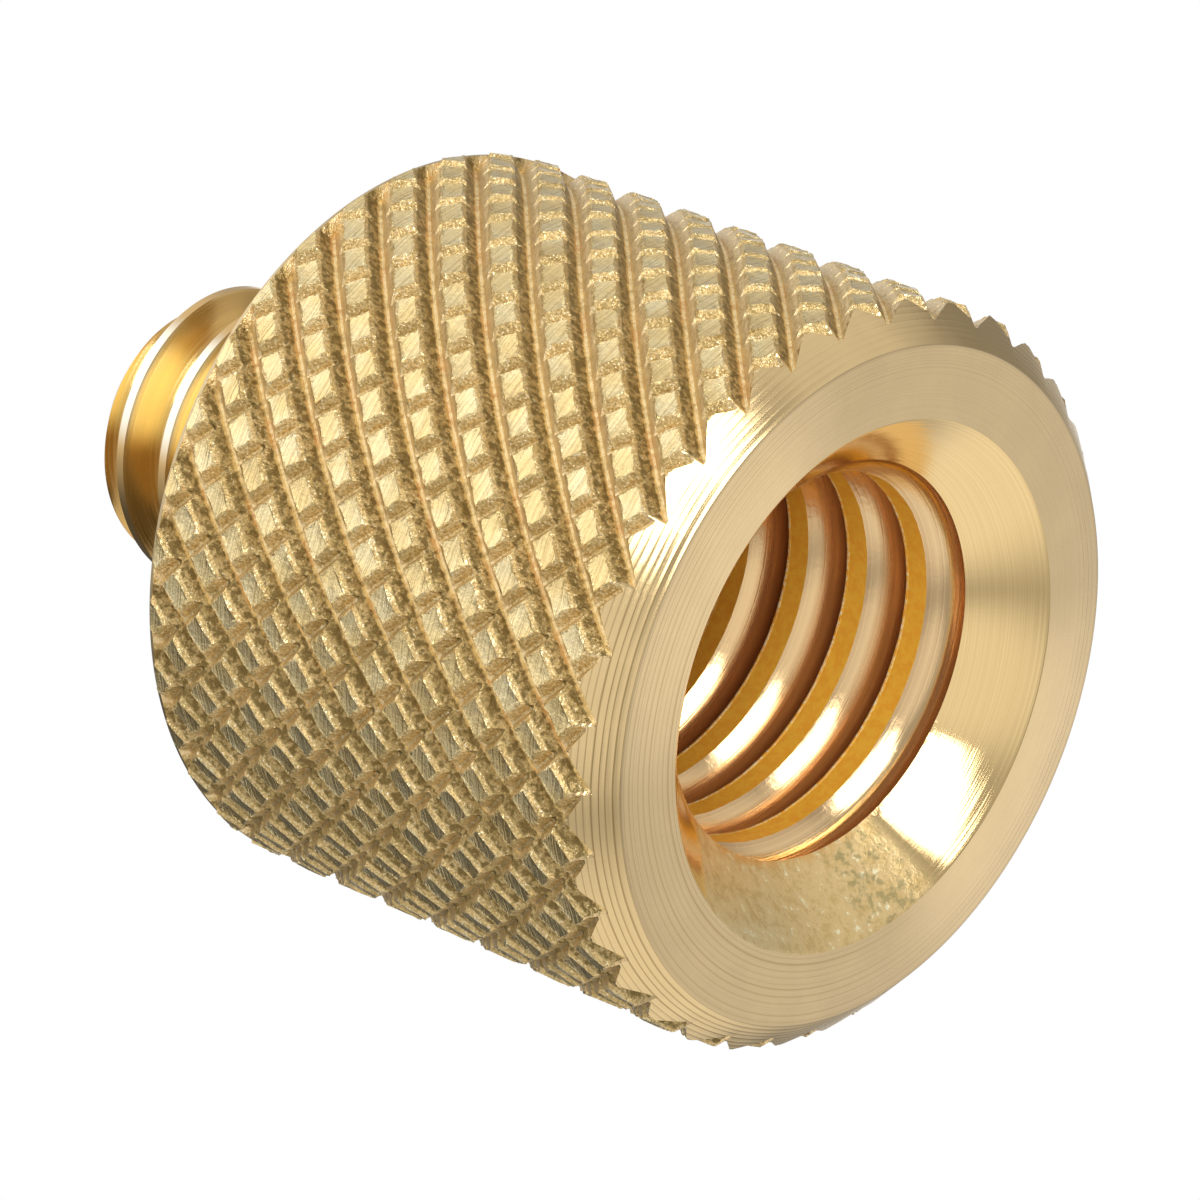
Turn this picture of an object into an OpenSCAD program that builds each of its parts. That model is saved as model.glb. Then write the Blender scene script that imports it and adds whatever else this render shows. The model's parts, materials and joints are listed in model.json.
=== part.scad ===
// Tripod thread adapter: a knurled brass reducer with a female thread in one end
// and a male stud on the other. It stands on the ring round the female thread.
// The origin is the centre of that ring and the axis is Z, towards the stud.

/* [Body] */
// diameter over the tops of the knurl
knurl_d = 15.24; // [14.4:0.01:16]
// length of the knurled body, from the female face to the shoulder
body_len = 12.3; // [10:0.1:13]
// outer diameter of the flat ring at the female end, where the bevel starts
face_d = 13.76; // [12.6:0.01:14.2]
// width of the plain rim at the shoulder
rim_w = 0.17; // [0.1:0.01:0.5]
// how far the plain rim lies under the tops of the knurl
rim_drop = 0.07; // [0.02:0.01:0.25]

/* [Female thread] */
// diameter of the hole before the thread is cut, 5/16" for a 3/8"-16 thread
bore_d = 7.94; // [7.8:0.01:8.2]
// solid left between the full width of the hole and the shoulder
floor_t = 3.3; // [2.8:0.1:5]
// diameter of the countersink where it meets the flat ring
sink_d = 10.78; // [9.8:0.01:11.6]
// full angle of the countersink
sink_angle = 90; // [80:1:100]
// full angle of the drill point at the bottom
drill_angle = 118; // [110:1:135]

/* [Male thread] */
// diameter over the thread of the stud, 1/4"
stud_d = 6.35; // [6:0.01:6.5]
// length of the stud, from the shoulder
stud_len = 7.1; // [4:0.1:10]
// width of the 45 degree bevel round the tip
stud_bevel = 0.93; // [0.2:0.01:1.1]

/* [Knurl] */
// grooves of each family round the body
grooves = 34; // [26:1:36]
// angle between a groove and the axis
helix = 45.5; // [42:0.5:48]
// share of the pitch that a groove of the deep family takes up
deep_share = 0.58; // [0.45:0.01:0.65]
// share of the pitch that a groove of the shallow family takes up
shallow_share = 0.37; // [0.25:0.01:0.42]
// full angle of the grooves
groove_angle = 73; // [70:1:100]
// height at which a diamond sits on the line below
start_z = 0.4; // [0:0.01:0.6]
// turn of that diamond round the axis
start_turn = -72.7; // [-180:0.1:180]

/* [Hidden] */
brass = [0.80, 0.64, 0.36];
$fn = 120;

knurl_r = knurl_d / 2;
// spacing of the grooves, measured across them
pitch = PI * knurl_d / grooves * cos(helix);
// half a diamond round the body and along the axis
half_a = 180 / grooves;
half_z = pitch / sin(helix) / 2;
deep = deep_share * pitch / 2 / tan(groove_angle / 2);
shallow = shallow_share * pitch / 2 / tan(groove_angle / 2);
// half lengths on the lattice, where one groove lies half a step from a diamond
top_p = (1 - deep_share) / 2;
top_q = (1 - shallow_share) / 2;
meet_p = 0.5 - (deep - shallow) * tan(groove_angle / 2) / pitch;

// rows of diamonds, enough to reach past both ends of the knurl
row_lo = floor(-start_z / half_z - 0.1);
row_hi = ceil((body_len - rim_w - start_z) / half_z + 0.1);
core_r = knurl_r - deep - 0.1;
ring_r = core_r - 0.4;

bevel = (knurl_d - face_d) / 2;
sink_depth = (sink_d - bore_d) / 2 / tan(sink_angle / 2);
bore_depth = body_len - floor_t;

// Place of lattice point p, q at a height h over the tops. Deep grooves lie at
// p = whole + 0.5 and shallow ones at q = whole + 0.5.
function lat(p, q, h) = let (a = start_turn + (p + q) * half_a)
    [(knurl_r + h) * cos(a), (knurl_r + h) * sin(a), start_z + (q - p) * half_z];

// A diamond owns its four top corners, the two points where its shallow groove
// meets the deep ones, and the crossing of the two grooves beyond it.
function diamond_points(p, q) = [
    lat(p - top_p, q - top_q, 0), lat(p + top_p, q - top_q, 0),
    lat(p + top_p, q + top_q, 0), lat(p - top_p, q + top_q, 0),
    lat(p - meet_p, q + 0.5, -shallow), lat(p + meet_p, q + 0.5, -shallow),
    lat(p + 0.5, q + 0.5, -deep)];

// Diamond k of row m, as its lattice point.
function odd(m) = abs(m) % 2;
function cell_p(m, k) = k + (odd(m) - m) / 2;
function first(p, q) = let (m = q - p, k = (p + q - odd(m)) / 2)
    7 * ((m - row_lo + 1) * grooves + (k + grooves) % grooves);

// The flat top, the two flanks of the shallow grooves, with two triangles each,
// and the two flanks of the deep grooves, with four.
function diamond_faces(p, q) = let (
    i = first(p, q), below = first(p, q - 1), left = first(p - 1, q),
    e = below + 6, s = first(p - 1, q - 1) + 6, n = i + 6, w = left + 6,
    ln = i + 4, rn = i + 5, ls = below + 4, rs = below + 5)
    [[i, i + 1, i + 2], [i, i + 2, i + 3],
     [i + 3, i + 2, rn], [i + 3, rn, ln],
     [i + 1, i, ls], [i + 1, ls, rs],
     [i + 2, i + 1, e], [i + 1, rs, e], [i + 2, e, n], [i + 2, n, rn],
     [i, i + 3, w], [i + 3, ln, w], [i, w, s], [i, s, ls]];

// Knurled tube, closed over its inner wall. Its ragged ends lie past the body.
module knurled_tube() {
    n = grooves;
    base = 7 * (row_hi - row_lo + 3) * n;
    points = concat(
        [for (m = [row_lo - 1 : row_hi + 1], k = [0 : n - 1])
            each diamond_points(cell_p(m, k), cell_p(m, k) + m)],
        [for (m = [row_lo, row_hi], k = [0 : n - 1])
            let (a = start_turn + (2 * k + odd(m) - 1) * half_a)
            [ring_r * cos(a), ring_r * sin(a), start_z + m * half_z]]);
    outside = [for (m = [row_lo : row_hi], k = [0 : n - 1])
        each diamond_faces(cell_p(m, k), cell_p(m, k) + m)];
    ends = [for (k = [0 : n - 1]) let (
        c = (k + 1) % n,
        p = cell_p(row_lo, k), q = p + row_lo,
        below = first(p, q - 1), s = first(p - 1, q - 1) + 6, e = below + 6,
        r = first(p, q) + 6, i = base + k, j = base + c,
        pu = cell_p(row_hi, k), qu = pu + row_hi,
        iu = first(pu, qu), w = first(pu - 1, qu) + 6, su = first(pu - 1, qu - 1) + 6,
        nu = iu + 6, a = base + n + k, b = base + n + c)
        each [[i, below + 4, s], [i, below + 5, below + 4], [i, e, below + 5], [i, j, e], [j, r, e],
              [a, su, w], [a, w, iu + 4], [a, iu + 4, iu + 5], [a, iu + 5, nu], [a, nu, b],
              [i, a, j], [j, a, b]]];
    polyhedron(points, [for (f = concat(outside, ends)) [f[2], f[1], f[0]]], convexity = 10);
}

// Space that the finished grip may fill: bevel, knurl and rim.
module grip_envelope() {
    rotate_extrude()
        polygon([[0, 0], [face_d / 2, 0], [knurl_r + 0.3, bevel + 0.3],
                 [knurl_r + 0.3, body_len - rim_w], [0, body_len - rim_w]]);
}

module grip() {
    intersection() {
        union() {
            knurled_tube();
            cylinder(r = core_r, h = body_len);
        }
        grip_envelope();
    }
    translate([0, 0, body_len - rim_w]) cylinder(r = knurl_r - rim_drop, h = rim_w);
}

module stud() {
    rotate_extrude()
        polygon([[0, body_len - 0.5], [stud_d / 2, body_len - 0.5],
                 [stud_d / 2, body_len + stud_len - stud_bevel],
                 [stud_d / 2 - stud_bevel, body_len + stud_len], [0, body_len + stud_len]]);
}

module bore() {
    point = bore_d / 2 / tan(drill_angle / 2);
    over = 0.5;
    rotate_extrude()
        polygon([[0, -over], [sink_d / 2 + over * tan(sink_angle / 2), -over],
                 [bore_d / 2, sink_depth], [bore_d / 2, bore_depth], [0, bore_depth + point]]);
}

module adapter_body() {
    color(brass) difference() {
        union() {
            grip();
            stud();
        }
        bore();
    }
}

adapter_body();
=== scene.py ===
import json
import math

import bpy
import numpy as np
from bpy.props import FloatProperty, FloatVectorProperty, IntProperty, PointerProperty
from mathutils import Matrix, Vector


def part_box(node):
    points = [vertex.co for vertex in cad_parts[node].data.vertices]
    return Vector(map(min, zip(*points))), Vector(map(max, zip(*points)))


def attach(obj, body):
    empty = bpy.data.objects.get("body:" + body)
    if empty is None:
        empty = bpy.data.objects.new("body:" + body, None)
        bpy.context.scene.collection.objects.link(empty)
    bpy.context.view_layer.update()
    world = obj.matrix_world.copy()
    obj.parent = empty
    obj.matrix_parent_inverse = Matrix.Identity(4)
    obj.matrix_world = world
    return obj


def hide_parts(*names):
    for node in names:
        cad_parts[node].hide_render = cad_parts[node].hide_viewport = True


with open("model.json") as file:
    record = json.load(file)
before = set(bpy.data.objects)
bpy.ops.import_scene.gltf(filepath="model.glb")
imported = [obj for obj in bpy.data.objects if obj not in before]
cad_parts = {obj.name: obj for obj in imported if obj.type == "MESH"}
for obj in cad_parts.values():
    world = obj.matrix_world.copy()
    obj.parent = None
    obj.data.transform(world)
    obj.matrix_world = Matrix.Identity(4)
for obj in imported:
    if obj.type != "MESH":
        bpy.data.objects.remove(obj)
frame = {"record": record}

bl_info = {
    "name": "Knurled thread adapter",
    "version": (1, 0, 0),
    "blender": (4, 5, 0),
    "location": "View3D > Sidebar > Adapter",
    "description": "Builds the knurled body, the threaded bore, the stud and the studio round them",
    "category": "Object",
}

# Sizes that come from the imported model
MM = 0.001
TIP_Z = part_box("adapter_body")[1][2]
MOUNTS = {mount["name"]: mount for mount in frame["record"]["mounts"]}
SHOULDER_Z = MOUNTS["stud_thread"]["pos_m"][2]
STUD_RADIUS = MOUNTS["stud_thread"]["dims"]["r_mm"] * MM
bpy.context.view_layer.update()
# Turns round the axis, in degrees: the side on which turned ridges look dark, a bright fan on
# the flat ring, and the side on which the stud's thread shines
DARK_TURN = -150
FAN_TURN = -82
STUD_TURN = -80
# Width of a turned edge that is broken, sides of a turned solid and half the drill's angle
EDGE = 0.025 * MM
SEGMENTS = 288
DRILL_HALF_ANGLE = 59
# Half widths of a diamond's flat top as shares of the pitch, across the deep and the shallow grooves
TOP_P, TOP_Q = 0.21, 0.315


class GripSettings(bpy.types.PropertyGroup):
    """Sizes of the knurled body."""
    radius: FloatProperty(
        name="Knurl radius", description="Radius over the tops of the knurl",
        default=7.618 * MM, unit="LENGTH", subtype="DISTANCE")
    length: FloatProperty(
        name="Body length", description="From the female face to the shoulder",
        default=SHOULDER_Z, unit="LENGTH", subtype="DISTANCE")
    face_radius: FloatProperty(
        name="Face radius", description="Outer radius of the flat ring, where the bevel starts",
        default=6.88 * MM, unit="LENGTH", subtype="DISTANCE")
    rim_width: FloatProperty(
        name="Rim width", description="Width of the plain rim at the shoulder",
        default=0.11 * MM, unit="LENGTH", subtype="DISTANCE")
    rim_drop: FloatProperty(
        name="Rim drop", description="How far the plain rim lies under the tops of the knurl",
        default=0.07 * MM, unit="LENGTH", subtype="DISTANCE")
    grooves: IntProperty(
        name="Grooves", description="Grooves of each family round the body", default=34, min=20, max=60)
    helix: FloatProperty(
        name="Helix angle", description="Angle between a groove and the axis",
        default=math.radians(45.5), subtype="ANGLE")
    flank_angle: FloatProperty(
        name="Groove angle", description="Full angle of the grooves",
        default=math.radians(73), subtype="ANGLE")
    start_turn: FloatProperty(
        name="Start turn", description="Turn of a diamond that sits on the start height",
        default=math.radians(-72.72), subtype="ANGLE")
    start_height: FloatProperty(
        name="Start height", description="Height of that diamond's centre",
        default=5.944 * MM, unit="LENGTH", subtype="DISTANCE")
    wear: FloatProperty(
        name="Wear", description="How far the tops of the diamonds tilt, dent and burr",
        default=0.026 * MM, unit="LENGTH", subtype="DISTANCE")


class BoreSettings(bpy.types.PropertyGroup):
    """Sizes of the countersink and the female thread."""
    sink_radius: FloatProperty(
        name="Countersink radius", description="Radius of the countersink at the flat ring",
        default=5.39 * MM, unit="LENGTH", subtype="DISTANCE")
    crest_radius: FloatProperty(
        name="Crest radius", description="Radius of the hole inside the crests of the thread",
        default=3.912 * MM, unit="LENGTH", subtype="DISTANCE")
    depth: FloatProperty(
        name="Depth", description="Depth of the hole without its drill point",
        default=9.0 * MM, unit="LENGTH", subtype="DISTANCE")
    pitch: FloatProperty(
        name="Pitch", description="Rise of the female thread in one turn",
        default=1.5875 * MM, unit="LENGTH", subtype="DISTANCE")
    thread_depth: FloatProperty(
        name="Thread depth", description="From the crests to the rounded roots",
        default=0.39 * MM, unit="LENGTH", subtype="DISTANCE")
    crest_share: FloatProperty(
        name="Crest share", description="Share of the pitch taken by the flat of the crest",
        default=0.34, min=0.1, max=0.6, subtype="FACTOR")
    crest_height: FloatProperty(
        name="Crest height", description="Height of the crest's deep edge where the turn is zero",
        default=2.246 * MM, unit="LENGTH", subtype="DISTANCE")


class StudSettings(bpy.types.PropertyGroup):
    """Sizes of the male thread."""
    radius: FloatProperty(
        name="Stud radius", description="Radius over the crests of the thread",
        default=STUD_RADIUS, unit="LENGTH", subtype="DISTANCE")
    root_radius: FloatProperty(
        name="Root radius", description="Radius at the roots of the thread",
        default=2.40 * MM, unit="LENGTH", subtype="DISTANCE")
    tip: FloatProperty(
        name="Tip height", description="Height of the end of the stud",
        default=TIP_Z, unit="LENGTH", subtype="DISTANCE")
    bevel: FloatProperty(
        name="Tip bevel", description="Width of the 45 degree bevel round the tip",
        default=0.93 * MM, unit="LENGTH", subtype="DISTANCE")
    pitch: FloatProperty(
        name="Pitch", description="Rise of the male thread in one turn",
        default=1.27 * MM, unit="LENGTH", subtype="DISTANCE")
    crest_width: FloatProperty(
        name="Crest width", description="Width of the flat of the crest",
        default=0.2 * MM, unit="LENGTH", subtype="DISTANCE")
    crest_height: FloatProperty(
        name="Crest height", description="Height of a crest's middle at a turn of -90 degrees",
        default=18.05 * MM, unit="LENGTH", subtype="DISTANCE")


class FinishSettings(bpy.types.PropertyGroup):
    """Colours of the brass."""
    brass: FloatVectorProperty(
        name="Brass", description="Colour of the clean brass",
        default=(0.85, 0.63, 0.31), size=3, min=0, max=1, subtype="COLOR")
    tarnish: FloatVectorProperty(
        name="Tarnish", description="Colour of the brown stains",
        default=(0.42, 0.22, 0.07), size=3, min=0, max=1, subtype="COLOR")


class StudioSettings(bpy.types.PropertyGroup):
    """Camera lens and floor."""
    lens: FloatProperty(
        name="Lens", description="Focal length of the camera in millimetres",
        default=199.756, min=10, max=400)
    floor_height: FloatProperty(
        name="Floor height", description="Height of the floor, clear of every camera",
        default=-0.2, unit="LENGTH", subtype="DISTANCE")
    floor_colour: FloatVectorProperty(
        name="Floor", description="Colour of the floor",
        default=(0.85, 0.85, 0.84), size=3, min=0, max=1, subtype="COLOR")


# Meshes

def add_mesh(name, points, faces):
    """Makes an object at the origin from an array of points and an array of triangles."""
    mesh = bpy.data.meshes.new(name)
    mesh.vertices.add(len(points))
    mesh.vertices.foreach_set("co", np.asarray(points, dtype=np.float32).ravel())
    mesh.loops.add(len(faces) * 3)
    mesh.loops.foreach_set("vertex_index", np.asarray(faces, dtype=np.int32).ravel())
    mesh.polygons.add(len(faces))
    mesh.polygons.foreach_set("loop_start", np.arange(len(faces), dtype=np.int32) * 3)
    mesh.update(calc_edges=True)
    mesh.validate()
    piece = bpy.data.objects.new(name, mesh)
    bpy.context.scene.collection.objects.link(piece)
    return piece


def close_ends(points, faces, low_z, high_z):
    """Closes both open ends of a tube with fans to two points on the axis.

    An edge that only one triangle uses lies on an open end. It and the axis point of its
    end make one more triangle, turned the other way round.
    """
    edges = np.concatenate([faces[:, [0, 1]], faces[:, [1, 2]], faces[:, [2, 0]]])
    size = len(points)
    there = edges[:, 0] * size + edges[:, 1]
    back = edges[:, 1] * size + edges[:, 0]
    free = edges[~np.isin(there, back)]
    middle = (low_z + high_z) / 2
    apex = np.where(points[free[:, 0], 2] < middle, size, size + 1)
    points = np.concatenate([points, [[0, 0, low_z], [0, 0, high_z]]])
    fans = np.stack([free[:, 1], free[:, 0], apex], axis=1)
    return points, np.concatenate([faces, fans])


def merge_points(keys, faces):
    """Numbers equal keys once and renames the corners of the faces to match."""
    unique, number = np.unique(keys, axis=0, return_inverse=True)
    return unique, number.reshape(-1)[faces]


def turned(profile, segments):
    """Solid of revolution: a profile of (radius, height) points from the axis back to the axis.

    The point at turn a is (radius cos a, radius sin a, height). The first and last points
    lie on the axis and are one point each.
    """
    profile = np.asarray(profile, dtype=float)
    turn = np.arange(segments) * 2 * math.pi / segments
    inner = profile[1:-1]
    rings = np.stack([
        inner[:, None, 0] * np.cos(turn), inner[:, None, 0] * np.sin(turn),
        np.broadcast_to(inner[:, None, 1], (len(inner), segments))], axis=-1).reshape(-1, 3)
    row, col = np.meshgrid(np.arange(len(inner) - 1), np.arange(segments), indexing="ij")
    here = (row * segments + col).ravel()
    right = (row * segments + (col + 1) % segments).ravel()
    up, across = here + segments, right + segments
    faces = np.concatenate([
        np.stack([here, right, across], axis=1), np.stack([here, across, up], axis=1)])
    first, last = len(rings), len(rings) + 1
    ring = np.arange(segments)
    after = (ring + 1) % segments
    top = (len(inner) - 1) * segments
    faces = np.concatenate([
        faces, np.stack([np.full(segments, first), after, ring], axis=1),
        np.stack([np.full(segments, last), ring + top, after + top], axis=1)])
    points = np.concatenate([rings, [[0, 0, profile[0, 1]], [0, 0, profile[-1, 1]]]])
    return points, faces


def screw(shape, pitch, low, high, start, around):
    """Closed solid whose side is one endless strip that climbs like a screw.

    shape gives (share of the pitch, radius) across the strip as an array. The point k
    steps along the strip and j across it lies at turn 2 pi k / around and at height
    start + pitch (k / around + share j). A strip's far edge is its near edge one turn later.
    """
    turns_down = math.ceil((start - low) / pitch) + 1
    turns_up = math.ceil((high - start) / pitch) + 1
    steps = np.arange(-turns_down * around, turns_up * around + 1)
    across = len(shape) - 1
    k, j = np.meshgrid(steps, np.arange(across + 1), indexing="ij")
    keys = np.stack([k + (j == across) * around, j % across], axis=-1).reshape(-1, 2)
    row, col = np.meshgrid(np.arange(len(steps) - 1), np.arange(across), indexing="ij")
    here = (row * (across + 1) + col).ravel()
    nextk, nextj, both = here + across + 1, here + 1, here + across + 2
    faces = np.concatenate([
        np.stack([here, nextk, both], axis=1), np.stack([here, both, nextj], axis=1)])
    unique, faces = merge_points(keys, faces)
    share, radius = np.asarray(shape, dtype=float)[unique[:, 1]].T
    turn = unique[:, 0] * 2 * math.pi / around
    height = start + pitch * (unique[:, 0] / around + share)
    return turn, radius, height, faces


def carve(piece, other, operation):
    """Applies one boolean between two closed pieces and removes the second."""
    cut = piece.modifiers.new(operation.lower(), "BOOLEAN")
    cut.operation = operation
    cut.solver = "MANIFOLD"
    cut.object = other
    finished = bpy.data.meshes.new_from_object(
        piece.evaluated_get(bpy.context.evaluated_depsgraph_get()))
    if len(finished.polygons) == 0:
        raise RuntimeError(f"{piece.name}: the {operation} boolean left nothing")
    piece.modifiers.clear()
    old = piece.data
    piece.data = finished
    bpy.data.meshes.remove(old)
    bpy.data.objects.remove(other)


def finish_mesh(piece, name, zone_of, materials, sharp_degrees):
    """Names a piece, shades it smooth up to an angle and gives each zone its material."""
    mesh = piece.data
    piece.name = mesh.name = name
    mesh.materials.clear()
    for material in materials:
        mesh.materials.append(material)
    count = len(mesh.polygons)
    centre = np.empty(count * 3, dtype=np.float32)
    mesh.polygons.foreach_get("center", centre)
    normal = np.empty(count * 3, dtype=np.float32)
    mesh.polygons.foreach_get("normal", normal)
    zone = zone_of(centre.reshape(-1, 3), normal.reshape(-1, 3)).astype(np.int32)
    mesh.polygons.foreach_set("material_index", zone)
    mesh.polygons.foreach_set("use_smooth", np.ones(count, dtype=bool))
    mesh.set_sharp_from_angle(angle=math.radians(sharp_degrees))
    mesh.update()


# Knurl and threads

def cell_grid(top, crease, bottom, inner):
    """Places of the grid lines across one cell, from the foot of one flank to the next."""
    half = [inner, top, (top + crease) / 2, crease, bottom]
    return np.array([-x for x in reversed(half)] + [0.0] + half)


def knurled_rod(grip):
    """Solid rod with two crossing families of V grooves, taller than the body.

    Lattice point (p, q) lies at turn start + (p + q) half step and height
    start + (q - p) half row. A deep groove runs where p is a whole number and a half, and a
    shallow one where q is. Each depth grows in line with the distance past the top's edge, up
    to a narrow flat at the foot, and the surface is the lower of the two.
    """
    n = grip.grooves
    pitch = 2 * math.pi * grip.radius / n * math.cos(grip.helix)
    half_step = math.pi / n
    half_row = pitch / math.sin(grip.helix) / 2
    slope = pitch / math.tan(grip.flank_angle / 2)
    # share of the pitch from the centre of a top to the foot of its flanks
    foot = 0.47
    # the flanks of the two families meet on a diagonal that is this long both ways
    diagonal = foot - TOP_Q
    across = cell_grid(TOP_P, TOP_P + diagonal, foot, inner=0.15)
    along = cell_grid(TOP_Q, TOP_Q + diagonal / 2, foot, inner=0.25)
    na, nb = len(across), len(along)

    # rows of diamonds, enough to reach past both ends of the body
    low = math.floor((-0.8 * MM - grip.start_height) / half_row)
    high = math.ceil((grip.length + 0.5 * MM - grip.start_height) / half_row)
    m, k = np.meshgrid(np.arange(low, high + 1), np.arange(n), indexing="ij")
    p0 = (k + (np.abs(m) % 2 - m) // 2).ravel()
    q0 = p0 + m.ravel()
    i, j = np.meshgrid(np.arange(na), np.arange(nb), indexing="ij")
    i, j = i.ravel(), j.ravel()

    def key(di, dj):
        """Numbers of the two grid lines through one corner of every square."""
        gp = p0[:, None] * na + i + di
        gq = q0[:, None] * nb + j + dj
        # one lap is n more of both, so each key is brought back to the first lap
        lap = (gp * nb + gq * na) // (2 * n * na * nb)
        return np.stack([gp - lap * n * na, gq - lap * n * nb], axis=-1).reshape(-1, 2)

    keys = np.concatenate([key(0, 0), key(1, 0), key(1, 1), key(0, 1)])
    cells = len(p0) * len(i)
    a, b, c, d = (np.arange(cells) + s * cells for s in range(4))
    # each square is split along the diagonal on which the flanks meet
    mid_p = np.tile((across[i] + np.append(across, 1 + across[0])[i + 1]) / 2, len(p0))
    mid_q = np.tile((along[j] + np.append(along, 1 + along[0])[j + 1]) / 2, len(p0))
    same = (mid_p * mid_q > 0)[:, None]
    faces = np.concatenate([
        np.where(same, np.stack([a, b, c], axis=1), np.stack([a, b, d], axis=1)),
        np.where(same, np.stack([a, c, d], axis=1), np.stack([b, c, d], axis=1))])
    unique, faces = merge_points(keys, faces)

    cell_p, cell_q = unique[:, 0] // na, unique[:, 1] // nb
    alpha, beta = across[unique[:, 0] % na], along[unique[:, 1] % nb]
    p, q = cell_p + alpha, cell_q + beta
    turn = grip.start_turn + (p + q) * half_step
    height = grip.start_height + (q - p) * half_row
    sink = slope * np.maximum(
        np.clip(np.abs(alpha) - TOP_P, 0, foot - TOP_P),
        np.clip(np.abs(beta) - TOP_Q, 0, foot - TOP_Q))

    # every diamond leans, dents and shifts by its own shares of the wear, and its edges are torn
    rng = np.random.default_rng(7)
    rows = high - low + 3
    row = np.clip(cell_q - cell_p - low + 1, 0, rows - 1)
    col = ((cell_p + cell_q) // 2) % n
    lean_p, lean_q, dent, wave, slip, twist = rng.uniform(-1, 1, (6, rows, n))[:, row, col]
    on_top = (np.abs(alpha) <= TOP_P + 1e-6) & (np.abs(beta) <= TOP_Q + 1e-6)
    edge = np.maximum(np.abs(alpha) / TOP_P, np.abs(beta) / TOP_Q) > 0.98
    lean = lean_p * alpha / TOP_P + lean_q * beta / TOP_Q
    burr = np.abs(np.sin(turn * 531 + height / MM * 23)) * edge
    drop = grip.wear * (0.55 * lean - 0.6 * np.abs(dent) + 0.9 * burr - 0.9)
    drop = np.where(on_top, drop, 0)
    foot_wave = 0.25 * grip.wear * np.sin(turn * 117 + wave) * ~on_top
    radius = np.minimum(grip.radius, grip.radius - sink + drop + foot_wave)
    shift = on_top & edge
    slide = np.where(shift, grip.wear * np.sin(turn * 311 + slip * 9), 0)
    turn = turn + np.where(shift, grip.wear * np.sin(height / MM * 17 + twist * 9), 0) / grip.radius
    points = np.stack([radius * np.cos(turn), radius * np.sin(turn), height + slide], axis=1)
    return close_ends(points, faces, height.min() - MM, height.max() + MM)


def grip_envelope(grip):
    """Turned solid that trims the knurled rod: flat ring, broken edge, bevel and plain end."""
    out = 0.3 * MM
    bevel = grip.radius - grip.face_radius
    end = grip.length - grip.rim_width
    return turned([
        (0, 0), (grip.face_radius - EDGE, 0), (grip.face_radius + EDGE / 2, EDGE / 2 * 1.2),
        (grip.radius + out, bevel + out), (grip.radius + out, end), (0, end)], SEGMENTS)


def rim_ring(grip):
    """Turned rim with a cone under it, on which the grooves run out."""
    end = grip.length - grip.rim_width
    radius = grip.radius - grip.rim_drop
    corner = 0.04 * MM
    cone_width, cone_height = 0.5 * MM, 0.25 * MM
    foot_width, foot_height = 0.7 * MM, 0.4 * MM
    return turned([
        (0, end - foot_height), (radius - foot_width, end - foot_height),
        (radius - cone_width, end - cone_height), (radius, end), (radius, grip.length - corner),
        (radius - corner, grip.length), (0, grip.length)], SEGMENTS)


def hole_radius(bore):
    """Radius of the plain hole, just inside the crests, so that the tap makes them."""
    return bore.crest_radius - 0.03 * MM


def plain_hole(bore):
    """Turned solid of the countersink, the hole and its drill point."""
    out = 0.5 * MM
    radius = hole_radius(bore)
    point = radius / math.tan(math.radians(DRILL_HALF_ANGLE))
    return turned([
        (0, -out), (bore.sink_radius + out + EDGE, -out),
        (bore.sink_radius + EDGE, 0), (bore.sink_radius - EDGE, EDGE),
        (radius, bore.sink_radius - radius), (radius, bore.depth), (0, bore.depth + point)], SEGMENTS)


def bore_screw(bore):
    """Solid that the female thread takes out of the body.

    The strip holds the flat of the crest first, then a rounded groove whose depth is
    1 - |2 t| to the power 1.85, with t from -0.5 to 0.5 across it. Over the last stretch before
    the end of the thread the depth fades in line with the height.
    """
    low, high = -1.2 * MM, 6.4 * MM
    end, fading = 8.2 * MM, 1.4 * MM
    tail, shrunk = 0.6 * MM, 1.35 * MM
    groove = np.linspace(-0.5, 0.5, 15)
    arch = 1 - np.abs(2 * groove) ** 1.85
    flat = bore.crest_share
    share = np.concatenate([np.linspace(0, flat, 3)[:-1], flat + (1 - flat) * (groove + 0.5)])
    cut = np.concatenate([[0, 0], arch])
    start = bore.crest_height - flat * bore.pitch
    turn, cut, height, faces = screw(
        np.stack([share, cut], axis=1), bore.pitch, low, high, start, around=144)
    fade = np.clip((end - height) / fading, 0, 1)
    # past its end the solid shrinks inside the plain hole
    shrink = np.clip((height - end) / tail, 0, 1) * shrunk
    ragged = 0.006 * MM * np.sin(turn * 41) * np.sin(turn * 17.3 + height / MM * 9)
    radius = bore.crest_radius + bore.thread_depth * cut * fade - shrink + ragged * (cut < 0.05)
    points = np.stack([radius * np.cos(turn), radius * np.sin(turn), height], axis=1)
    return close_ends(points, faces, height.min() - 0.3 * MM, height.max() + 0.05 * MM)


def stud_screw(stud, low):
    """Threaded rod: the flat of the crest and a rounded groove across each pitch.

    The groove's depth is 1 - |2 t - 1| to the power 1.6, with t from 0 to 1 across it.
    """
    flat = stud.crest_width / stud.pitch
    groove = np.linspace(0, 1, 15)
    dip = 1 - np.abs(2 * groove - 1) ** 1.6
    share = np.concatenate([np.linspace(-flat / 2, flat / 2, 3)[:-1], flat / 2 + (1 - flat) * groove])
    radius = stud.radius - (stud.radius - stud.root_radius) * np.concatenate([[0, 0], dip])
    # the crest's height is given at a turn of -90 degrees, and the strip's start at 0
    start = stud.crest_height + stud.pitch / 4
    turn, radius, height, faces = screw(
        np.stack([share, radius], axis=1), stud.pitch, low, stud.tip + MM, start, around=120)
    points = np.stack([radius * np.cos(turn), radius * np.sin(turn), height], axis=1)
    return close_ends(points, faces, height.min() - 0.1 * MM, height.max() + 0.1 * MM)


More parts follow.
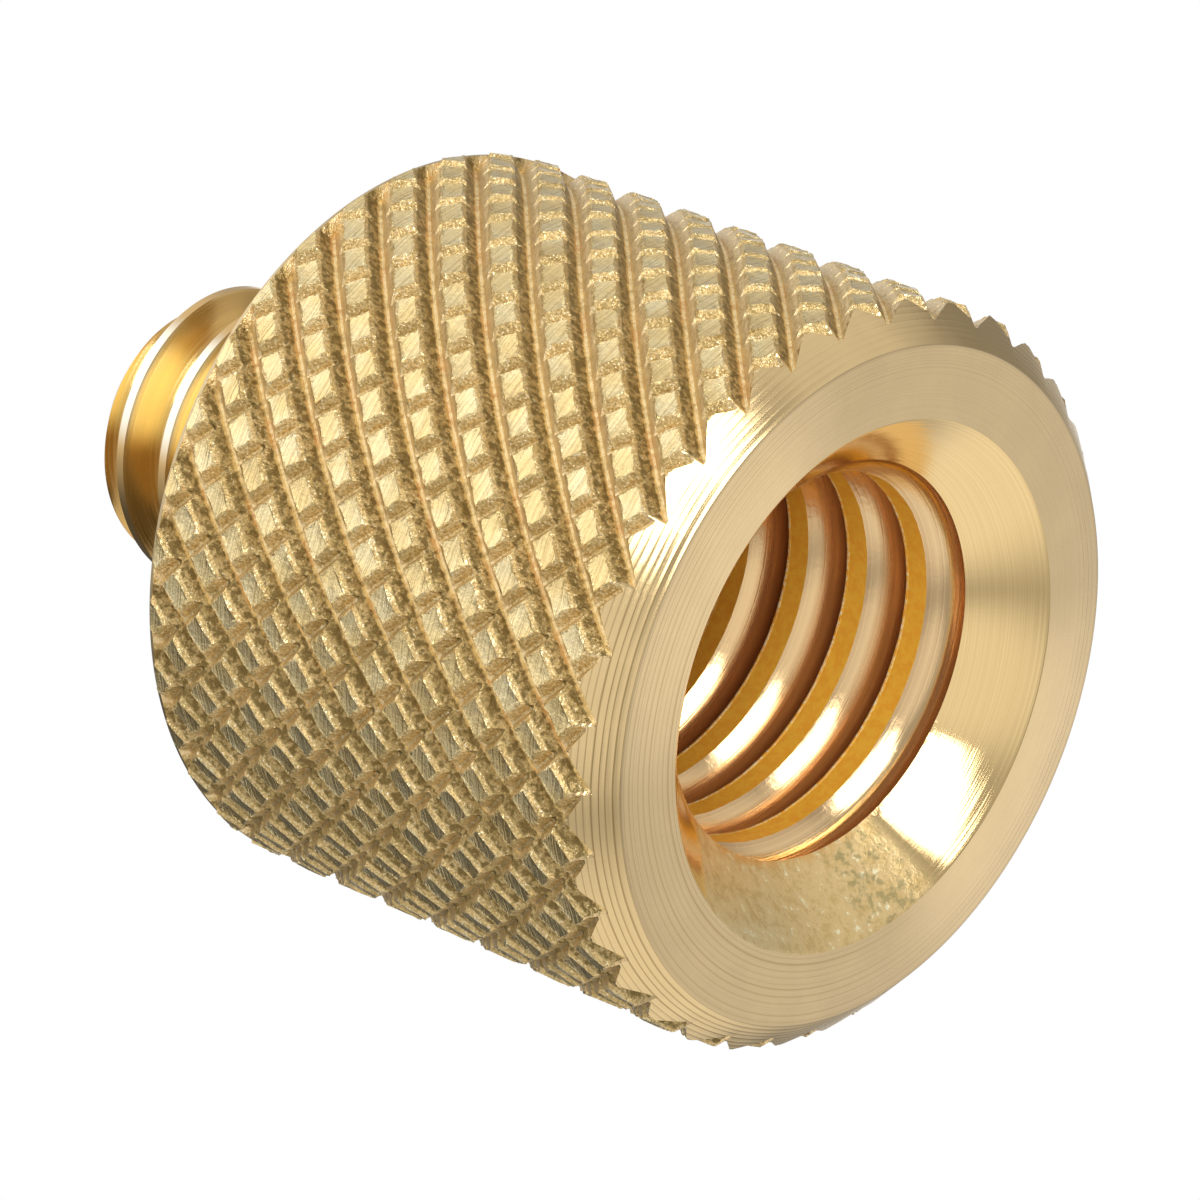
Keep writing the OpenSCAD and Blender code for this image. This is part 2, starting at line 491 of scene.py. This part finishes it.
# Shader maths

class Value:
    """A number that changes over a surface: a socket whose arithmetic adds Math nodes."""

    def __init__(self, bench, socket):
        self.bench, self.socket = bench, socket

    def math(self, operation, *others):
        """This number and the others through one Math node."""
        values = dict(enumerate((self, *others)))
        return Value(self.bench, self.bench.node(
            "ShaderNodeMath", {"operation": operation}, values).outputs[0])

    def __add__(self, other):
        return self.math("ADD", other)

    def __mul__(self, other):
        return self.math("MULTIPLY", other)

    def __sub__(self, other):
        return self.math("SUBTRACT", other)

    def __rsub__(self, other):
        return self * -1 + other

    def __truediv__(self, other):
        return self.math("DIVIDE", other)

    def __pow__(self, other):
        return self.math("POWER", other)

    def __abs__(self):
        return self.math("ABSOLUTE")

    def __lt__(self, other):
        return self.math("LESS_THAN", other)

    __radd__ = __add__
    __rmul__ = __mul__

    def fraction(self):
        return self.math("FRACT")

    def ease(self, low, high, to_low=0.0, to_high=1.0):
        """Smooth step: to_low up to low, to_high past high."""
        return Value(self.bench, self.bench.node(
            "ShaderNodeMapRange", {"interpolation_type": "SMOOTHSTEP"},
            {0: self, 1: low, 2: high, 3: to_low, 4: to_high}).outputs[0])


class Bench:
    """One node tree and the few ways in which this object's finishes add nodes to it."""

    def __init__(self, tree):
        self.tree = tree
        self.tree.nodes.clear()

    def node(self, kind, settings, values):
        """Adds a node: its settings first, then each socket's value or link."""
        made = self.tree.nodes.new(kind)
        for name, setting in settings.items():
            setattr(made, name, setting)
        for name, value in values.items():
            socket = made.inputs[name]
            if isinstance(value, Value):
                value = value.socket
            if isinstance(value, bpy.types.NodeSocket):
                self.tree.links.new(value, socket)
            else:
                socket.default_value = value
        return made

    def place(self):
        """Object coordinates in millimetres: the vector, its parts and the distance from the axis."""
        coords = self.node("ShaderNodeTexCoord", {}, {}).outputs["Object"]
        vector = self.node(
            "ShaderNodeVectorMath", {"operation": "SCALE"}, {0: coords, "Scale": 1 / MM}).outputs[0]
        parts = self.node("ShaderNodeSeparateXYZ", {}, {0: vector})
        x, y, z = (Value(self, parts.outputs[axis]) for axis in range(3))
        return vector, x, y, z, (x * x + y * y) ** 0.5

    def noise(self, vector, scale, detail=2.0, roughness=0.5):
        """Noise in space."""
        return Value(self, self.node(
            "ShaderNodeTexNoise", {"noise_dimensions": "3D"},
            {"Vector": vector, "Scale": scale, "Detail": detail, "Roughness": roughness}).outputs[0])

    def lines(self, along, scale, detail=3.0):
        """Noise along one number, which gives lines where that number is the same."""
        return Value(self, self.node(
            "ShaderNodeTexNoise", {"noise_dimensions": "1D"},
            {"W": along, "Scale": scale, "Detail": detail, "Roughness": 0.6}).outputs[0])

    def mix(self, factor, first, second):
        """Colour that goes from first to second."""
        values = {0: factor, 6: first, 7: second}
        return self.node("ShaderNodeMix", {"data_type": "RGBA"}, values).outputs[2]


def facing(x, y, radius, degrees):
    """Cosine of the angle round the axis between a point and the side at a turn in degrees."""
    turn = math.radians(degrees)
    return (x * math.cos(turn) + y * math.sin(turn)) / radius


def rgba(colour):
    """Opaque colour of three channels."""
    return (*colour, 1.0)


def tint(finish, *factor):
    """The clean brass, each channel times its factor and at most 1."""
    return rgba([min(1.0, c * f) for c, f in zip(finish.brass, factor)])


# Finishes

def brass_finish(name, draw):
    """Metal material: draw adds the nodes and returns colour, roughness, bump height, its depth
    and how metallic the surface is.
    """
    material = bpy.data.materials.new(name)
    material.use_nodes = True
    bench = Bench(material.node_tree)
    colour, roughness, height, depth, metallic = draw(bench)
    bump = bench.node("ShaderNodeBump", {}, {"Strength": 1.0, "Distance": depth, "Height": height})
    surface = bench.node("ShaderNodeBsdfPrincipled", {}, {
        "Base Color": colour, "Metallic": metallic, "Roughness": roughness, "Normal": bump.outputs[0]})
    bench.node("ShaderNodeOutputMaterial", {}, {"Surface": surface.outputs[0]})
    return material


def knurl_finish(finish, grip):
    """Rolled and turned diamonds: fine lines round the tops, torn edges, dull flanks with painted shade on
    one side of each deep groove and painted light on the other, painted glints on the flanks, and bright
    feet with a painted highlight line.

    Around is the turn past the start diamond in half steps, and above the height over it in
    half rows. p is the fraction of (around - above) / 2 and q that of (around + above) / 2, so
    both are whole at the centre of a top and a groove runs where one of them is a half.
    """
    def draw(bench):
        where, x, y, z, radius = bench.place()
        below = grip.radius / MM - radius
        half_step = math.pi / grip.grooves
        half_row = half_step * grip.radius / MM / math.tan(grip.helix)
        around = (y.math("ARCTAN2", x) - grip.start_turn) / half_step
        above = (z - grip.start_height / MM) / half_row
        p = ((around - above) * 0.5).fraction()
        q = ((around + above) * 0.5).fraction()
        past_p = 0.5 - abs(p - 0.5) - TOP_P
        past_q = 0.5 - abs(q - 0.5) - TOP_Q
        blotch = bench.noise(where, 1.1, 3.0)
        pits = bench.noise(where, 7.0, 4.0, 0.6)
        crumbs = bench.noise(where, 20.0, 2.0, 0.6)
        turning = bench.lines(z + 0.25 * blotch + 0.03 * pits, 14.0)

        # the two flanks of a deep groove: the one that lies away from the light gets painted shade, and the
        # one towards it painted light
        painted_shade_flank = p.ease(0.26, 0.30) * (1 - p.ease(0.43, 0.48))
        painted_light_flank = p.ease(0.52, 0.57) * (1 - p.ease(0.70, 0.74))
        top = 1 - (past_p.math("MAXIMUM", past_q) + 0.25 * (pits - 0.5)).ease(-0.01, 0.015)
        foot = (below + 0.09 * (pits - 0.5)).ease(0.285, 0.325)
        # painted highlight: a thin bright line along the foot of each groove
        painted_foot_highlight = (below + 0.04 * (crumbs - 0.5)).ease(0.33, 0.345)
        # painted glints: pale specks on the flanks, where the roughness is lower too
        painted_glint = crumbs.ease(0.60, 0.67) * (1 - top)

        tops = bench.mix(
            blotch.ease(0.35, 0.7), tint(finish, 1.12, 1.16, 1.12), tint(finish, 1.17, 1.34, 1.6))
        tops = bench.mix(turning.ease(0.38, 0.52, 0.38, 0.0), tops, tint(finish, 0.78, 0.70, 0.50))
        flanks = bench.mix(
            blotch.ease(0.35, 0.65), tint(finish, 0.82, 0.80, 0.68), tint(finish, 1.08, 1.06, 0.98))
        flanks = bench.mix(crumbs.ease(0.40, 0.54, 0.55, 0.0), flanks, tint(finish, 0.40, 0.37, 0.27))
        # painted glints on the flanks
        flanks = bench.mix(painted_glint, flanks, tint(finish, 1.17, 1.4, 2.0))
        # painted shade on the flank away from the light, painted light on the flank towards it
        flanks = bench.mix(painted_shade_flank * pits.ease(0.42, 0.58, 1.0, 0.4), flanks, tint(finish, 0.27, 0.25, 0.17))
        flanks = bench.mix(painted_light_flank * pits.ease(0.38, 0.56, 0.55, 1.0), flanks, tint(finish, 1.12, 1.18, 1.35))
        feet = bench.mix(foot * pits.ease(0.38, 0.56, 0.2, 0.9), flanks, tint(finish, 1.06, 1.03, 0.84))
        feet = bench.mix(foot * blotch.ease(0.52, 0.60, 0.0, 0.5), feet, tint(finish, 0.80, 0.52, 0.28))
        # painted highlight line at the foot of the groove
        feet = bench.mix(painted_foot_highlight * pits.ease(0.44, 0.58, 0.1, 0.9), feet, tint(finish, 1.17, 1.26, 1.4))
        colour = bench.mix(top, feet, tops)
        rough = 0.16 + 0.17 * (1 - top) + 0.10 * pits - 0.15 * painted_glint
        height = top * turning * 0.5 + pits * (1.1 - 0.6 * top) + crumbs * (0.45 - 0.25 * top)
        return colour, rough, height, 0.04 * MM, 0.8 + 0.2 * top - 0.3 * foot
    return brass_finish("brass knurl", draw)


def bore_finish(finish, bore):
    """Tapped thread: gold crests whose torn edge is bare metal with painted glints, clean flanks, and
    painted shade in brown over the roots.

    The share of the pitch at a point is the fraction of (height - start) / pitch - turn.
    """
    warm = (0.92, 0.64, 0.33, 1.0)
    brown = (0.62, 0.28, 0.085, 1.0)
    root_shadow_brown = (0.22, 0.08, 0.025, 1.0)
    gold = (0.96, 0.46, 0.045, 1.0)
    pale_gold = (1.0, 0.56, 0.06, 1.0)
    bare_metal_and_glint = (1.0, 0.90, 0.62, 1.0)

    def draw(bench):
        where, x, y, z, radius = bench.place()
        flat = bore.crest_share
        start = (bore.crest_height - flat * bore.pitch) / MM
        turn = y.math("ARCTAN2", x) * (0.5 / math.pi)
        share = ((z - start) * (MM / bore.pitch) - turn).fraction()
        crest_mm = bore.crest_radius / MM
        fine = bench.noise(where, 6.0, 4.0, 0.65)
        crumbs = bench.noise(where, 18.0, 3.0, 0.7)
        along = bench.lines(radius + 0.02 * fine, 14.0)

        # the drill point, inside the crests, has none of the thread's marks
        wall = radius.ease(crest_mm - 0.2, crest_mm - 0.1)
        crest = (share < flat) * wall
        torn = wall * (1 - abs(share - flat + 0.016).ease(0.012, 0.028))
        # painted shade: the groove's root is brown, darker just past the deep edge of each crest, and the
        # brown part is narrower near the mouth
        groove = wall * share.ease(flat, flat + 0.02)
        reach = share + z.ease(2.2, 3.0, 0.14, 0.0)
        root = groove * (1 - reach.ease(0.74, 0.93))
        deep_root_shade = groove * (1 - reach.ease(0.46, 0.72))

        band = bench.mix(
            along.ease(0.35, 0.65), tint(finish, 0.80, 0.74, 0.80), tint(finish, 0.98, 0.95, 1.04))
        band = bench.mix(z.ease(2.0, 7.0, 0.0, 0.6), band, warm)
        # painted shade: the root in brown, and its part next to each crest in a darker brown
        colour = bench.mix(root, band, brown)
        colour = bench.mix(deep_root_shade * 0.9, colour, root_shadow_brown)
        colour = bench.mix(crest, colour, bench.mix(fine.ease(0.38, 0.62), gold, pale_gold))
        # the torn edge in broken dashes: bare metal, partly painted glints
        colour = bench.mix(torn * crumbs.ease(0.47, 0.56) * fine.ease(0.40, 0.52), colour, bare_metal_and_glint)
        rough = 0.16 + 0.24 * crest + 0.12 * root
        height = along * 0.3 + fine * (0.2 + 0.4 * crest) + torn * crumbs * 1.5
        metallic = 1 - 0.8 * crest - 0.35 * root
        return colour, rough, height, 0.02 * MM, metallic
    return brass_finish("brass bore", draw)


def sink_finish(finish, bore):
    """Countersink: fine turned lines, with one side left mottled by chips and grime."""
    mottled_turn, grimy_turn, pale_turn = 165, 136, -170
    dull = (0.80, 0.59, 0.28, 1.0)
    pale = (0.86, 0.68, 0.36, 1.0)
    spot = (0.64, 0.44, 0.16, 1.0)
    chip = (1.0, 0.92, 0.62, 1.0)
    grime = (0.34, 0.29, 0.13, 1.0)
    stain = (0.80, 0.46, 0.15, 1.0)

    def draw(bench):
        where, x, y, _, radius = bench.place()
        crest_mm = bore.crest_radius / MM
        side = facing(x, y, radius, mottled_turn).ease(0.74, 0.80)
        dirt = facing(x, y, radius, grimy_turn).ease(0.975, 0.995)
        low = facing(x, y, radius, pale_turn).ease(0.90, 0.99)
        lip = 1 - radius.ease(crest_mm + 0.02, crest_mm + 0.30)
        fine = bench.noise(where, 5.0, 4.0, 0.6)
        blobs = bench.noise(where, 3.2, 5.0, 0.7)
        scratches = bench.lines(radius + 0.01 * fine, 30.0, 4.0)
        rings = bench.lines(radius, 7.0, 2.0)

        colour = bench.mix(
            scratches.ease(0.35, 0.7), tint(finish, 0.99, 0.97, 0.93), tint(finish, 1.08, 1.08, 1.1))
        colour = bench.mix(side, colour, dull)
        colour = bench.mix(low, colour, pale)
        colour = bench.mix(side * blobs.ease(0.48, 0.62, 0.0, 0.6), colour, spot)
        colour = bench.mix(side * blobs.ease(0.34, 0.40, 0.9, 0.0), colour, chip)
        colour = bench.mix(dirt * fine.ease(0.48, 0.62, 0.0, 0.65), colour, grime)
        colour = bench.mix(lip * blobs.ease(0.42, 0.5, 0.0, 0.8), colour, stain)
        rough = 0.06 + 0.05 * scratches + side * (0.14 + 0.2 * blobs)
        height = rings * 0.25 + scratches * 0.3 + side * blobs * 4.0 + lip * fine * 8.0
        return colour, rough, height, 0.006 * MM, 1 - 0.25 * side
    return brass_finish("brass countersink", draw)


def warm_brass(bench, finish, blotch, warmth, lighter):
    """Brass with one factor for each channel, and lighter by a factor in cloudy patches."""
    return bench.mix(
        blotch.ease(0.35, 0.7), tint(finish, *warmth), tint(finish, *(w * lighter for w in warmth)))


def stained(bench, finish, where, colour, stains):
    """The colour with faint brown stains, by the share in stains."""
    spots = bench.noise(where, 2.2, 5.0, 0.7).ease(0.66, 0.8, 0.0, stains)
    return bench.mix(spots, colour, rgba(finish.tarnish))


def lathe_finish(name, finish, coarse, fine, depth, rough, warmth, stains):
    """Turned face: lines of equal radius, coarse and fine, with faint stains."""
    def draw(bench):
        where, _, _, _, radius = bench.place()
        wander = bench.noise(where, 0.6, 2.0)
        grooves = bench.lines(radius + 0.01 * wander, coarse, 2.0)
        scratches = bench.lines(radius + 0.02 * wander, fine, 4.0)
        blotch = bench.noise(where, 0.8, 4.0, 0.6)
        colour = stained(bench, finish, where, warm_brass(bench, finish, blotch, warmth, 1.05), stains)
        roughness = rough + 0.14 * scratches.ease(0.35, 0.7) + 0.05 * blotch
        return colour, roughness, grooves + scratches * 0.45, depth, 1.0
    return brass_finish(name, draw)


def stud_finish(finish, stud):
    """Rolled thread: gold flanks with painted light round one turn and painted shade away from it, and
    crests with a painted highlight round that turn.
    """
    painted_highlight = (1.0, 0.95, 0.80, 1.0)

    def draw(bench):
        where, x, y, _, radius = bench.place()
        painted_light_side = facing(x, y, radius, STUD_TURN)
        outer = stud.radius / MM
        crest = radius.ease(outer - 0.08, outer - 0.01)
        blotch = bench.noise(where, 0.8, 4.0, 0.6)
        scratches = bench.lines(radius + 0.02 * blotch, 20.0, 4.0)
        # painted light round STUD_TURN and painted shade away from it: bright and dark copies of the flank
        # colour, and a painted highlight on the crests
        flanks = bench.mix(
            painted_light_side.ease(0.84, 0.97), tint(finish, 0.82, 0.70, 0.50), tint(finish, 1.17, 1.22, 1.15))
        crests = bench.mix(painted_light_side.ease(0.86, 0.97), tint(finish, 0.96, 0.86, 0.74), painted_highlight)
        colour = bench.mix(crest, flanks, crests)
        return colour, 0.12 + 0.14 * scratches.ease(0.35, 0.7), scratches, 0.001 * MM, 1.0
    return brass_finish("brass stud thread", draw)


def feed_finish(name, finish, measure, feed, depth, rough, warmth, shade, fans, stains):
    """Turned face with the marks of a round-nosed tool: shallow hollows that meet in sharp ridges.

    The marks follow the radius or the height, as measure says. With f the share of one feed,
    the hollow's height is (2 f - 1) squared. On the side round one turn the ridges are dark as
    well, by the share in shade. Outside the two opposite fans in which a turned face catches
    the light, the colour is darker by the share in fans.
    """
    black = (0.0, 0.0, 0.0, 1.0)

    def draw(bench):
        where, x, y, z, radius = bench.place()
        along = radius if measure == "radius" else z
        wander = bench.noise(where, 0.6, 2.0)
        uneven = bench.lines(along, 0.45 / feed, 2.0)
        f = ((along + 0.02 * wander) * (1 / feed) + 1.2 * uneven).fraction()
        hollow = (f * 2 - 1) ** 2.0
        scratches = bench.lines(along + 0.01 * wander, 3.2 / feed, 3.0)
        blotch = bench.noise(where, 0.8, 4.0, 0.6)
        dark_side = facing(x, y, radius, DARK_TURN).ease(0.0, 0.75)
        ridge = hollow.ease(0.35, 0.95) * uneven.ease(0.3, 0.6) * dark_side
        off_fans = abs(facing(x, y, radius, FAN_TURN)).ease(0.72, 0.98, fans, 0.0)
        colour = bench.mix(off_fans, warm_brass(bench, finish, blotch, warmth, 1.06), black)
        colour = bench.mix(ridge * shade, colour, tint(finish, 0.42, 0.38, 0.30))
        colour = stained(bench, finish, where, colour, stains)
        roughness = rough + 0.10 * scratches.ease(0.35, 0.7) + 0.05 * blotch
        return colour, roughness, hollow + scratches * 0.5, depth, 1.0
    return brass_finish(name, draw)


# Operators

class ADAPTER_OT_grip(bpy.types.Operator):
    """Builds the knurled body with its bevel, rim, flat ring, countersink and female thread"""
    bl_idname = "adapter.grip"
    bl_label = "Knurled body"

    def execute(self, context):
        grip, bore = context.scene.adapter_grip, context.scene.adapter_bore
        finish = context.scene.adapter_finish
        piece = add_mesh("knurled_body", *knurled_rod(grip))
        carve(piece, add_mesh("envelope", *grip_envelope(grip)), "INTERSECT")
        carve(piece, add_mesh("rim", *rim_ring(grip)), "UNION")
        carve(piece, add_mesh("hole", *plain_hole(bore)), "DIFFERENCE")
        carve(piece, add_mesh("tap", *bore_screw(bore)), "DIFFERENCE")

        # zones in the order of their materials
        materials = [
            knurl_finish(finish, grip),
            feed_finish("brass bevel", finish, "height", feed=0.095, depth=0.004 * MM, rough=0.13,
                        warmth=(0.93, 0.93, 0.97), shade=0.85, fans=0.0, stains=0.15),
            feed_finish("brass face", finish, "radius", feed=0.13, depth=0.0024 * MM, rough=0.22,
                        warmth=(1.03, 1.05, 1.2), shade=0.5, fans=0.27, stains=0.5),
            sink_finish(finish, bore),
            bore_finish(finish, bore),
            lathe_finish("brass rim", finish, coarse=6.0, fine=40.0, depth=0.004 * MM, rough=0.26,
                         warmth=(0.72, 0.76, 0.9), stains=0.1),
        ]
        knurl, bevel, face, sink, thread, rim = range(6)

        def zone_of(centre, normal):
            """Zone of each face, from where it lies and where it looks."""
            radius = np.hypot(centre[:, 0], centre[:, 1])
            height = centre[:, 2]
            inward = (normal[:, :2] * centre[:, :2]).sum(axis=1) < 0
            zone = np.full(len(centre), knurl)
            on_bevel = np.abs(radius - grip.face_radius - height) < 0.03 * MM
            zone[on_bevel & ~inward & (height < grip.radius - grip.face_radius + 0.02 * MM)] = bevel
            zone[(height < 0.012 * MM) & (normal[:, 2] < -0.5)] = face
            zone[inward & (radius < bore.sink_radius)] = thread
            on_cone = np.abs(radius + height - bore.sink_radius) < 0.035 * MM
            zone[on_cone & (height < bore.sink_radius - hole_radius(bore))] = sink
            on_rim = height > grip.length - grip.rim_width - 0.01 * MM
            zone[on_rim & (radius > bore.crest_radius)] = rim
            return zone

        finish_mesh(piece, "knurled_body", zone_of, materials, sharp_degrees=24)
        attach(piece, "root")
        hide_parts("adapter_body")
        return {"FINISHED"}


class ADAPTER_OT_stud(bpy.types.Operator):
    """Builds the male thread with its bevelled tip, rooted in the shoulder"""
    bl_idname = "adapter.stud"
    bl_label = "Threaded stud"

    def execute(self, context):
        stud, finish = context.scene.adapter_stud, context.scene.adapter_finish
        rooted = 0.5 * MM
        out = 0.3 * MM
        low = SHOULDER_Z - rooted
        piece = add_mesh("stud", *stud_screw(stud, low - rooted))
        envelope = turned([
            (0, low), (stud.radius + out, low), (stud.radius + out, stud.tip - stud.bevel - out),
            (stud.radius - stud.bevel, stud.tip), (0, stud.tip)], segments=192)
        carve(piece, add_mesh("envelope", *envelope), "INTERSECT")

        def zone_of(centre, normal):
            """0 thread, 1 bevel and tip."""
            radius = np.hypot(centre[:, 0], centre[:, 1])
            cone = np.abs(radius + centre[:, 2] - stud.tip - stud.radius + stud.bevel) < 0.02 * MM
            return (centre[:, 2] > stud.tip - 0.01 * MM) | cone

        materials = [
            stud_finish(finish, stud),
            lathe_finish("brass stud tip", finish, coarse=8.0, fine=30.0, depth=0.003 * MM, rough=0.16,
                         warmth=(1.0, 0.97, 0.92), stains=0.1),
        ]
        finish_mesh(piece, "stud", zone_of, materials, sharp_degrees=28)
        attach(piece, "root")
        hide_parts("adapter_body")
        return {"FINISHED"}


# Directions of the photograph's camera in the part's frame, and its place in metres
RIGHT = Vector((0.3671880, 0.5898659, -0.7191879))
DOWN = Vector((-0.9301438, 0.2308941, -0.2855180))
FORWARD = Vector((-0.0023611, 0.7737869, 0.6334416))
CAMERA_PLACE = Vector((0, -0.102946, -0.077240))


def seen(right, down, forward):
    """A direction given as the camera sees it, turned into the part's frame."""
    return (RIGHT * right + DOWN * down + FORWARD * forward).normalized()


class ADAPTER_OT_studio(bpy.types.Operator):
    """Sets the camera, the soft lights, the surroundings and the pale floor"""
    bl_idname = "adapter.studio"
    bl_label = "Studio"

    def execute(self, context):
        scene, studio = context.scene, context.scene.adapter_studio
        camera = bpy.data.objects.new("camera", bpy.data.cameras.new("camera"))
        scene.collection.objects.link(camera)
        turn = Matrix((RIGHT, -DOWN, -FORWARD)).transposed().to_4x4()
        camera.matrix_world = Matrix.Translation(CAMERA_PLACE) @ turn
        camera.data.sensor_width = 36
        camera.data.lens = studio.lens
        camera.data.clip_start, camera.data.clip_end = 0.005, 10
        scene.camera = camera
        scene.view_settings.view_transform = "Standard"

        self.surroundings(scene)
        self.softbox("key", seen(0.43, -0.31, -0.85), width=0.18, height=0.17, radiance=6.5)
        fill = self.softbox("fill", seen(0.0, 0.1, -1.0), width=0.15, height=0.15, radiance=9.0)
        fill.visible_glossy = False
        self.floor(studio)
        return {"FINISHED"}

    def softbox(self, name, direction, width, height, radiance):
        """A rectangle of soft light that faces the part's middle from a direction."""
        middle, distance = Vector((0, 0, 0.006)), 0.30
        light = bpy.data.lights.new(name, "AREA")
        light.shape = "RECTANGLE"
        light.size, light.size_y = width, height
        light.energy = radiance * math.pi * width * height
        lamp = bpy.data.objects.new(name, light)
        lamp.matrix_world = Matrix.Translation(middle + direction * distance) @ (
            direction.to_track_quat("Z", "Y").to_matrix().to_4x4())
        lamp.visible_camera = False
        bpy.context.scene.collection.objects.link(lamp)
        return lamp

    def surroundings(self, scene):
        """White behind the part, and a soft grey room with brighter and darker sides round it."""
        world = bpy.data.worlds.new("surroundings")
        scene.world = world
        world.use_nodes = True
        bench = Bench(world.node_tree)
        look = bench.node("ShaderNodeTexCoord", {}, {}).outputs["Generated"]

        def toward(direction):
            """Cosine of the angle between the ray and a direction."""
            dot = bench.node(
                "ShaderNodeVectorMath", {"operation": "DOT_PRODUCT"}, {0: look, 1: direction})
            return Value(bench, dot.outputs["Value"])

        level = 0.5
        for direction, wide, narrow, amount in (
                ((0.12, 0.97, 0.15), 0.70, 0.95, 0.48),      # white table top
                ((0.91, 0.35, 0.23), 0.80, 0.95, 0.42),      # card on the right
                ((0.10, 0.38, -0.92), 0.82, 0.97, 0.42),     # card beside the camera
                ((0.76, -0.63, -0.12), 0.85, 0.97, 0.30),    # second card on the right
                ((0.72, -0.50, 0.50), 0.84, 0.97, -0.20),    # dark corner
                ((-0.50, -0.86, 0.05), 0.55, 0.95, 0.32),    # broad light from above
                ((-0.85, -0.50, -0.20), 0.68, 0.95, 0.60),   # window on the left
                ((0.0, 0.0, 1.0), 0.92, 0.98, 0.50),         # backdrop
                ((-0.47, 0.53, 0.70), 0.58, 0.95, -0.40)):   # shaded side
            level = amount * toward(seen(*direction)).ease(wide, narrow) + level
        paths = bench.node("ShaderNodeLightPath", {}, {})
        room = bench.node(
            "ShaderNodeBackground", {}, {"Color": (1.0, 0.99, 0.97, 1.0), "Strength": level})
        white = bench.node(
            "ShaderNodeBackground", {}, {"Color": (1.0, 1.0, 1.0, 1.0), "Strength": 1.0})
        both = bench.node("ShaderNodeMixShader", {}, {
            0: paths.outputs["Is Camera Ray"], 1: room.outputs[0], 2: white.outputs[0]})
        bench.node("ShaderNodeOutputWorld", {}, {"Surface": both.outputs[0]})

    def floor(self, studio):
        """Round floor far below the part, which reflections don't show."""
        radius, low = 1.6, studio.floor_height - 0.002
        plate = add_mesh("floor", *turned([
            (0, low), (radius, low), (radius, studio.floor_height), (0, studio.floor_height)], segments=96))
        plate.data.materials.append(self.floor_paint(studio))
        plate.visible_glossy = False
        return plate

    def floor_paint(self, studio):
        """Matt pale paint with a hardly visible grain."""
        material = bpy.data.materials.new("floor")
        material.use_nodes = True
        bench = Bench(material.node_tree)
        where = bench.node("ShaderNodeTexCoord", {}, {}).outputs["Object"]
        grain = bench.noise(where, 30.0, 3.0)
        darker = [c * 0.98 for c in studio.floor_colour]
        colour = bench.mix(grain, rgba(studio.floor_colour), rgba(darker))
        surface = bench.node("ShaderNodeBsdfPrincipled", {}, {"Base Color": colour, "Roughness": 0.9})
        bench.node("ShaderNodeOutputMaterial", {}, {"Surface": surface.outputs[0]})
        return material


class ADAPTER_PT_panel(bpy.types.Panel):
    """Lists the settings and the operators that build the adapter"""
    bl_idname = "ADAPTER_PT_panel"
    bl_label = "Thread adapter"
    bl_space_type = "VIEW_3D"
    bl_region_type = "UI"
    bl_category = "Adapter"

    def draw(self, context):
        layout = self.layout
        for group, operator in PARTS:
            box = layout.box()
            settings = getattr(context.scene, group)
            for name in settings.__annotations__:
                box.prop(settings, name)
            if operator:
                box.operator(operator)


SETTINGS = {
    "adapter_grip": GripSettings, "adapter_bore": BoreSettings, "adapter_stud": StudSettings,
    "adapter_finish": FinishSettings, "adapter_studio": StudioSettings,
}
PARTS = [
    ("adapter_finish", None), ("adapter_bore", None), ("adapter_grip", "adapter.grip"),
    ("adapter_stud", "adapter.stud"), ("adapter_studio", "adapter.studio"),
]
CLASSES = [*SETTINGS.values(), ADAPTER_OT_grip, ADAPTER_OT_stud, ADAPTER_OT_studio, ADAPTER_PT_panel]


def register():
    for made in CLASSES:
        bpy.utils.register_class(made)
    for name, group in SETTINGS.items():
        setattr(bpy.types.Scene, name, PointerProperty(type=group))


def unregister():
    for name in SETTINGS:
        delattr(bpy.types.Scene, name)
    for made in reversed(CLASSES):
        bpy.utils.unregister_class(made)


def main():
    """Builds the pieces and the studio."""
    register()
    bpy.ops.adapter.grip()
    bpy.ops.adapter.stud()
    bpy.ops.adapter.studio()


if __name__ == "__main__":
    main()
